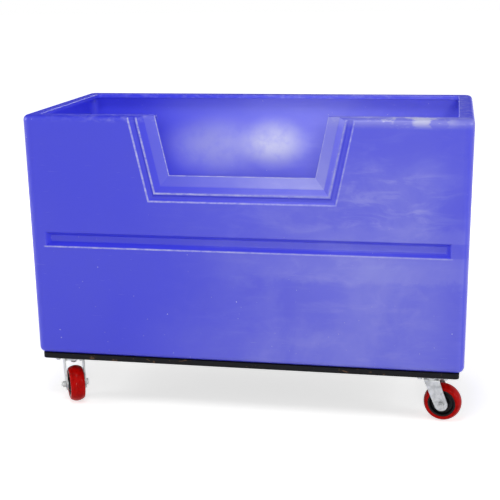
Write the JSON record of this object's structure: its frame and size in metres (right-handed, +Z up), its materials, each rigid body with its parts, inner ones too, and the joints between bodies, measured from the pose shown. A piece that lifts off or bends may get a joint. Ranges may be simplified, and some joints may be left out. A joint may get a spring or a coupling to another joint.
{
  "type": "hopper front cart",
  "caption": "Long moulded plastic bin cart with a framed trapezoid notch in its front wall, on a plywood base with swivel casters, for loading and rolling loose goods.",
  "frame": {"origin": "on the floor under the middle of the tub", "axes": "+X along the tub's length, to the right of someone who faces the hopper mouth; +Y from the hopper mouth to the back wall; +Z up"},
  "size_m": [1.4728, 0.7408, 1.0161],
  "materials": {
    "tub_plastic": "satin rotationally moulded polyethylene, scuffed",
    "black_plywood": "black paint, chipped along the edges",
    "zinc_steel": "bright zinc plate on pressed steel",
    "bearing_steel": "ground and hardened",
    "red_polyurethane": "glossy cast polyurethane",
    "black_core": "moulded polyolefin"
  },
  "bodies": {
    "cart": {"tub": "tub_plastic", "base": "black_plywood", "caster_screws": "zinc_steel", "caster_washers": "zinc_steel", "floor_screws": "zinc_steel", "floor_washers": "zinc_steel", "front_left_top_plate": "zinc_steel", "front_left_kingpin": "zinc_steel", "front_left_kingpin_nut": "zinc_steel", "front_left_lower_race": "zinc_steel", "front_right_top_plate": "zinc_steel", "front_right_kingpin": "zinc_steel", "front_right_kingpin_nut": "zinc_steel", "front_right_lower_race": "zinc_steel", "rear_left_top_plate": "zinc_steel", "rear_left_kingpin": "zinc_steel", "rear_left_kingpin_nut": "zinc_steel", "rear_left_lower_race": "zinc_steel", "rear_right_top_plate": "zinc_steel", "rear_right_kingpin": "zinc_steel", "rear_right_kingpin_nut": "zinc_steel", "rear_right_lower_race": "zinc_steel"},
    "front_left_swivel": {"front_left_swivel_balls": "bearing_steel", "front_left_fork": "zinc_steel", "front_left_axle_bolt": "zinc_steel", "front_left_axle_nut": "zinc_steel", "front_left_axle_bushing": "bearing_steel", "front_left_thrust_washers": "zinc_steel"},
    "front_left_wheel": {"front_left_wheel_core": "black_core", "front_left_roller_bearing": "bearing_steel", "front_left_tyre": "red_polyurethane"},
    "front_right_swivel": {"front_right_swivel_balls": "bearing_steel", "front_right_fork": "zinc_steel", "front_right_axle_bolt": "zinc_steel", "front_right_axle_nut": "zinc_steel", "front_right_axle_bushing": "bearing_steel", "front_right_thrust_washers": "zinc_steel"},
    "front_right_wheel": {"front_right_wheel_core": "black_core", "front_right_roller_bearing": "bearing_steel", "front_right_tyre": "red_polyurethane"},
    "rear_left_swivel": {"rear_left_swivel_balls": "bearing_steel", "rear_left_fork": "zinc_steel", "rear_left_axle_bolt": "zinc_steel", "rear_left_axle_nut": "zinc_steel", "rear_left_axle_bushing": "bearing_steel", "rear_left_thrust_washers": "zinc_steel"},
    "rear_left_wheel": {"rear_left_wheel_core": "black_core", "rear_left_roller_bearing": "bearing_steel", "rear_left_tyre": "red_polyurethane"},
    "rear_right_swivel": {"rear_right_swivel_balls": "bearing_steel", "rear_right_fork": "zinc_steel", "rear_right_axle_bolt": "zinc_steel", "rear_right_axle_nut": "zinc_steel", "rear_right_axle_bushing": "bearing_steel", "rear_right_thrust_washers": "zinc_steel"},
    "rear_right_wheel": {"rear_right_wheel_core": "black_core", "rear_right_roller_bearing": "bearing_steel", "rear_right_tyre": "red_polyurethane"}
  },
  "joints": [
    {"name": "front_left_swivel_turn", "type": "hinge", "parent": "cart", "child": "front_left_swivel", "pos_m": [-0.62995, -0.2788, 0.149], "axis": [0, 0, 1], "continuous": true},
    {"name": "front_left_wheel_roll", "type": "hinge", "parent": "front_left_swivel", "child": "front_left_wheel", "pos_m": [-0.61352, -0.3097, 0.0635], "axis": [0.8829, 0.4695, 0], "continuous": true},
    {"name": "front_right_swivel_turn", "type": "hinge", "parent": "cart", "child": "front_right_swivel", "pos_m": [0.62995, -0.2788, 0.149], "axis": [0, 0, 1], "continuous": true},
    {"name": "front_right_wheel_roll", "type": "hinge", "parent": "front_right_swivel", "child": "front_right_wheel", "pos_m": [0.66452, -0.28427, 0.0635], "axis": [0.1564, 0.9877, 0], "continuous": true},
    {"name": "rear_left_swivel_turn", "type": "hinge", "parent": "cart", "child": "rear_left_swivel", "pos_m": [-0.62995, 0.2788, 0.149], "axis": [0, 0, 1], "continuous": true},
    {"name": "rear_left_wheel_roll", "type": "hinge", "parent": "rear_left_swivel", "child": "rear_left_wheel", "pos_m": [-0.66452, 0.28427, 0.0635], "axis": [-0.1564, -0.9877, 0], "continuous": true},
    {"name": "rear_right_swivel_turn", "type": "hinge", "parent": "cart", "child": "rear_right_swivel", "pos_m": [0.62995, 0.2788, 0.149], "axis": [0, 0, 1], "continuous": true},
    {"name": "rear_right_wheel_roll", "type": "hinge", "parent": "rear_right_swivel", "child": "rear_right_wheel", "pos_m": [0.61352, 0.3097, 0.0635], "axis": [-0.8829, -0.4695, 0], "continuous": true}
  ]
}
